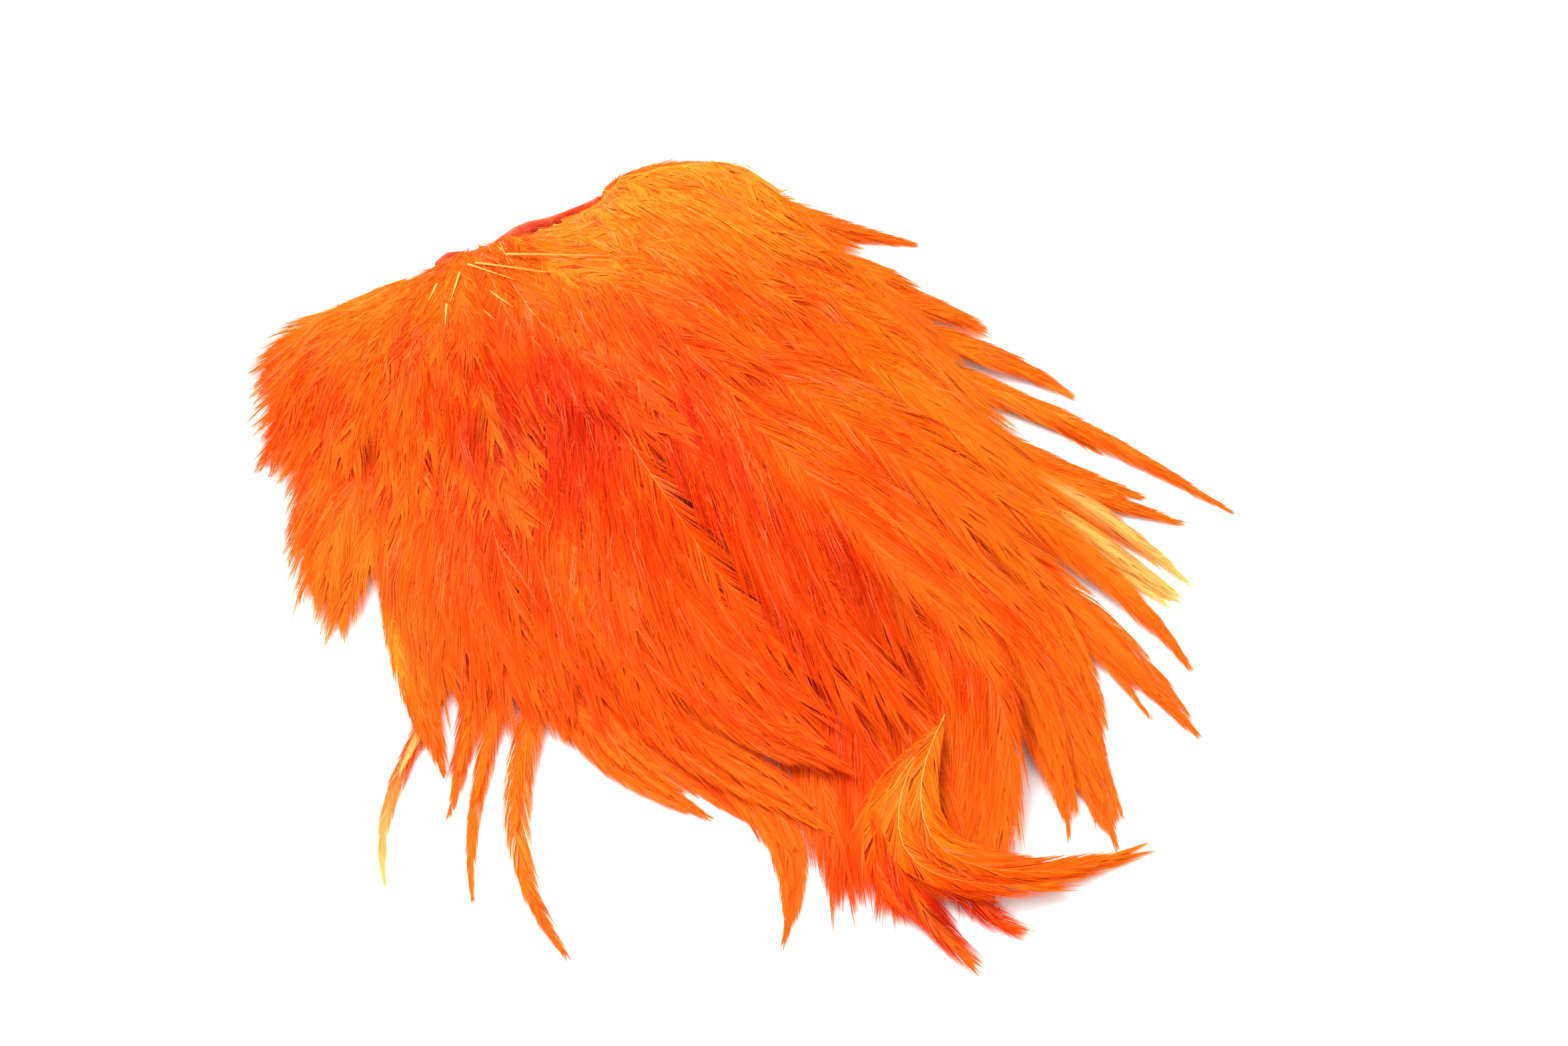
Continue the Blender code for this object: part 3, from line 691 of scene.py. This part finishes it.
def buildLock(lock, pile, shared):
    name, width, styleName, count, slotName = lock[0], *lock[5:]
    layer = name.split("_")[0]
    ground = groundUnder(layer, name, pile, shared)
    style = featherStyles[styleName]
    fill = bundle["fill"].get(layer, 1.0)
    if name.startswith(edgeLocks):  # their outer barbs stay inside the lock
        fill = max(0.15, 0.65 - style["halfWidth"] / width)
    size = min(1.0, 0.6 * width / style["halfWidth"])
    full = bundle["full"].get(layer, bundle["full"].get(styleName, 1.0))
    if name.startswith("bunch_tip"):
        fill, full = bundle["tips"]
    golden = bundle["golden"] if name == "bunch_curled_feather" else 0.0
    shorter = bundle["shorter"].get(layer, 0.22)
    feathers = []
    for i in range(count):
        order = i / max(1, count - 1)  # 0 lies lowest and reaches the tip, 1 lies on top
        last = full - shorter * order ** 1.2 + rng.uniform(-0.03, 0.0)
        if layer == "head":
            last += rng.uniform(-0.1, 0.2)
        first = 0.12 * (1 - order) + rng.uniform(-0.04, 0.04)
        if layer == "head":
            first = rng.uniform(-0.06, 0.08)  # these start at the skin's edge
        if name.startswith("bunch_tip"):
            first = rng.uniform(0.66, 0.72)  # these start under the curled feather
        spread = 0.0 if i == 0 else fill
        rootSide = rng.uniform(-spread, spread)
        tipSide = spread * (2 * (i * evenStep % 1) - 1)
        curve, left = feathersCurve(lock, layer, (i * evenStep + 0.5) % 1 - 0.5)
        bow = rng.normal(0, 0.05) * width
        plan = lockPlan(curve, left, width, first, last, 0.5 * (rootSide + tipSide), tipSide, bow)
        path = quillPath(plan, ground, 0.2 + 1.1 * order)
        feathers.append((path, style, size * rng.uniform(0.85, 1.1), golden + rng.normal(0, 0.05)))
    for points in looseFeathers.get(name, ()):
        plan = lockPlan(*evenCurve(*points), 0, 0, 1, 0, 0, 0)
        feathers.append((quillPath(plan, ground, 0.8), style, 0.9, golden))
    item, triangles = growFeathers(name + "_feathers", feathers, ground, slotName)
    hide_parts(name)
    return triangles


# Short webby feathers along the skin's edge: x and y of the edge (mm), heading (degrees), length and
# how far in they start, and their lift (mm)

rimFan = [
    (-43, 7, 218, 20, 4, 0.5), (-41, 12, 236, 26, 10, 0.5), (-37, 16, 256, 30, 12, 0.5),
    (-32, 19, 280, 30, 10, 0.4), (-27, 22, 300, 32, 9, 0.2), (-21, 27, 318, 34, 10, 0.2),
    (-14, 32, 333, 34, 6, 0.5), (-8, 36, 342, 34, -2, 1.6), (5, 41.5, 350, 34, -2, 2.0),
    (17, 44, 350, 32, -2, 1.6), (27, 41, 344, 30, -1, 1.0),
]
rimFeathers = 44


def buildRimFeathers(ground):
    fan = np.array(rimFan, float)
    feathers = []
    for i in range(rimFeathers):
        place = (i + rng.uniform(0.1, 0.9)) / rimFeathers * (len(fan) - 1)
        x, y, heading, length, inset, lift = [np.interp(place, range(len(fan)), column) for column in fan.T]
        heading = math.radians(heading + rng.normal(0, 9))
        inset += rng.uniform(-1.0, 2.5)
        run = np.linspace(0, length * rng.uniform(0.75, 1.1), quillPoints)
        bend = rng.normal(0, 0.006) * run
        out = run + inset
        plan = np.column_stack([x + out * np.cos(heading + bend), y + out * np.sin(heading + bend)])
        path = quillPath(plan, ground, lift + rng.uniform(-0.4, 0.4))
        feathers.append((path, featherStyles["webby"], rng.uniform(0.75, 1.0), rng.normal(0.06, 0.06)))
    return growFeathers("rim_feathers", feathers, ground, "golden_feather")[1]


# Bare quills beside the skin's edge, each as a pair of spots on the table (mm) behind which the
# camera sees its two ends
bareQuills = [
    ((-35, 20), (-37, 10)), ((-41, 16), (-43, 10)), ((-38, 9), (-38, 2)), ((-33, 23), (-20, 17.5)),
    ((-31, 23.5), (-10, 20)), ((-23, 26.5), (4, 26)), ((-17, 32), (-11, 32)), ((-14, 34.5), (0, 36)),
    ((-10, 36), (8, 40)), ((-27, 14), (-20, 8)), ((-28, 7), (-22, 1)),
]
bareQuillThickness = 0.75
bareQuillLift = 1.5  # mm above the locks


def underCamera(x, y, ground):  # the spot on the pile that hides this spot of the table from the camera
    away = np.array(cameraPlace())
    spot = np.array([x, y, 0.0])
    height = 0.0
    for _ in range(20):
        point = spot + (away - spot) * height / away[2]
        height = 0.5 * (height + float(heightOf(ground, point[0], point[1])) + bareQuillLift)
    return point


def buildBareQuills(ground):
    points, faces, along = [], [], []
    for start, end in bareQuills:
        line = np.linspace(underCamera(*start, ground), underCamera(*end, ground), quillPoints)
        clear = heightOf(ground, line[:, 0], line[:, 1]) + 0.6 * bareQuillLift
        line[:, 2] = softened(np.maximum(line[:, 2], clear), 4)
        ridge, q = growQuill(line, bareQuillThickness)
        faces += quillFaces(sum(len(p) for p in points), quillPoints)
        points.append(ridge)
        along.append(np.repeat(q, 3) * 0.5)
    mesh = joinedMesh("bare_quills", np.concatenate(points), faces, {"along": np.concatenate(along)})
    addPiece(mesh, (materials["quill"],))


# Skin: the dried red sheet under the feathers, with its edge rolled up in lobes

skinLook = {
    "thickness": 1.5,  # mm, as in the part
    "roll": 1.0,  # mm that the rolled edge stands above the sheet
    "rollPlace": 1.6,  # mm from the edge
    "rollWidth": 2.0,
    "wrinkle": 0.15,
    "lobes": ((-37, 19, 5, 2.4), (-19, 31, 6, 1.6), (-28, 23, 3, -1.2)),  # x, y, reach and swelling, mm
    "insets": (0, 0.5, 1.1, 1.8, 2.6, 3.6, 5, 7, 10, 15, 22, 30),  # mm from the edge
    "around": 320,  # points along the edge
}


def skinEdge():  # the part's outline of the skin, drawn through its own corners as a smooth closed curve
    verts = np.array([v.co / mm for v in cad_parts["skin"].data.vertices])
    middle = verts[:, :2].mean(axis=0)
    offsets = verts[:, :2] - middle
    turns = np.round(np.degrees(np.arctan2(offsets[:, 1], offsets[:, 0])), 0)
    corners = []
    for turn in np.unique(turns):
        group = verts[turns == turn]
        distance = np.linalg.norm(group[:, :2] - middle, axis=1)
        if distance.max() > 25:
            outer = group[distance > distance.max() - 0.5]
            corners.append(outer[np.argmin(outer[:, 2])])
    corners = np.array(corners)
    t = np.arange(skinLook["around"]) / skinLook["around"] * len(corners)
    k = np.floor(t).astype(int)
    f = (t - k)[:, None]
    p0, p1, p2, p3 = (corners[(k + step) % len(corners)] for step in (-1, 0, 1, 2))
    curve = p1 + 0.5 * f * (p2 - p0 + f * (2 * p0 - 5 * p1 + 4 * p2 - p3 + f * (3 * (p1 - p2) + p3 - p0)))
    return curve, middle


def buildSkin():
    edge, middle = skinEdge()
    rise = np.maximum(edge[:, 2], 0)
    curled = np.clip(rise / 3, 0, 1)
    swell = np.zeros(len(edge))
    for x, y, reach, amount in skinLook["lobes"]:
        swell += amount * np.exp(-((edge[:, 0] - x) ** 2 + (edge[:, 1] - y) ** 2) / reach ** 2)
    wobble = softened(rng.normal(0, 1.6, len(edge)), 3)
    inward = unit(middle - edge[:, :2])
    across = np.linalg.norm(middle - edge[:, :2], axis=1)
    tops, bottoms = [], []
    for inset in skinLook["insets"]:
        far = np.minimum(inset, 0.95 * across) - 0.8 * np.maximum(swell, 0) * math.exp(-inset / 3)
        plan = edge[:, :2] + inward * far[:, None]
        sheet = rise * max(0.0, 1 - inset / 12) ** 2
        bulge = math.exp(-((inset - skinLook["rollPlace"]) / skinLook["rollWidth"]) ** 2)
        roll = (skinLook["roll"] + swell + 0.4 * wobble) * bulge
        wrinkles = skinLook["wrinkle"] * softened(rng.normal(0, 1, len(edge)), 1)
        thickness = skinLook["thickness"] * min(1.0, 0.35 + inset)
        tops.append(np.column_stack([plan, sheet + thickness + np.maximum(roll * curled, -0.5) + wrinkles]))
        bottoms.append(np.column_stack([plan, sheet + 0.02]))

    bm = bmesh.new()
    insetLayer = bm.verts.layers.float.new("inset")
    loops = []
    for inset, ring in zip(skinLook["insets"][::-1] + skinLook["insets"], bottoms[::-1] + tops):
        verts = [bm.verts.new(point * mm) for point in ring]
        for vert in verts:
            vert[insetLayer] = inset
        loops.append([bm.edges.new((verts[k - 1], verts[k])) for k in range(len(verts))])
    for below, above in zip(loops, loops[1:]):
        bmesh.ops.bridge_loops(bm, edges=below + above)
    bmesh.ops.holes_fill(bm, edges=loops[0] + loops[-1], sides=0)
    bmesh.ops.recalc_face_normals(bm, faces=bm.faces)
    mesh = bpy.data.meshes.new("skin_dried")
    bm.to_mesh(mesh)
    bm.free()
    item = addPiece(mesh, (makeSkinMaterial(),))
    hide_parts("skin")


def makeSkinMaterial():
    material, tree = newMaterial("driedDyedSkin")
    place = addNode(tree, "ShaderNodeTexCoord").outputs["Object"]
    stain = addNode(tree, "ShaderNodeTexNoise", {"Vector": place, "Scale": 160, "Detail": 5}).outputs["Fac"]
    ramp = addNode(tree, "ShaderNodeValToRGB", {"Fac": stain})
    setRamp(ramp, ((0.3, "#B8280E"), (0.5, "#DC4420"), (0.7, "#EC6236")))
    colour = mixColours(tree, between(tree, readAttribute(tree, "inset"), 2.5, 7), ramp.outputs["Color"],
                        hexColour("#F4640E"))  # under the feathers the skin took more dye
    wrinkle = addNode(tree, "ShaderNodeTexNoise", {
        "Vector": place, "Scale": 600, "Detail": 4, "Distortion": 0.8}).outputs["Fac"]
    pores = addNode(tree, "ShaderNodeTexVoronoi", {"Vector": place, "Scale": 900})
    relief = combine(tree, "ADD", wrinkle, combine(tree, "MULTIPLY", pores.outputs["Distance"], 0.3))
    bump = addNode(tree, "ShaderNodeBump", {"Height": relief, "Strength": 0.7, "Distance": 0.5 * mm})
    surface = addNode(tree, "ShaderNodeBsdfPrincipled", {
        "Base Color": colour, "Roughness": 0.6, "IOR": 1.45, "Specular IOR Level": 0.3,
        "Normal": bump.outputs["Normal"]})
    addNode(tree, "ShaderNodeOutputMaterial", {"Surface": surface.outputs[0]})
    return material


makeCamera()
makeStudio()
materials = {
    "orange_feather": makeBarbMaterial("dyedBarbsOrange", "#FF8A1E", 0.6, 0.7),
    "golden_feather": makeBarbMaterial("dyedBarbsGolden", "#FF8A1E", 0.7, 0.3),
    "red_orange_feather": makeBarbMaterial("dyedBarbsRedOrange", "#FF6B12", 0.6, 0.5),
    "pale_feather": makeBarbMaterial("dyedBarbsPale", "#FFD678", 0.62, 1.0),
    "quill": makeQuillMaterial(),
}
print("camera, studio and materials are ready")
pile = np.zeros(pileCells)
addToPile(pile, "skin")
buildSkin()
print("skin is built")
shared = {}
perPiece = [buildLock(lock, pile, shared) for lock in locks]
print("locks with their feathers:", len(perPiece))
ground = softened(pile, 14)
perPiece.append(buildRimFeathers(softened(pile, 7)))
buildBareQuills(ground)
print("short feathers round the skin and bare quills are in place")
print("triangles of all barbs", sum(perPiece), "most in a piece", max(perPiece))
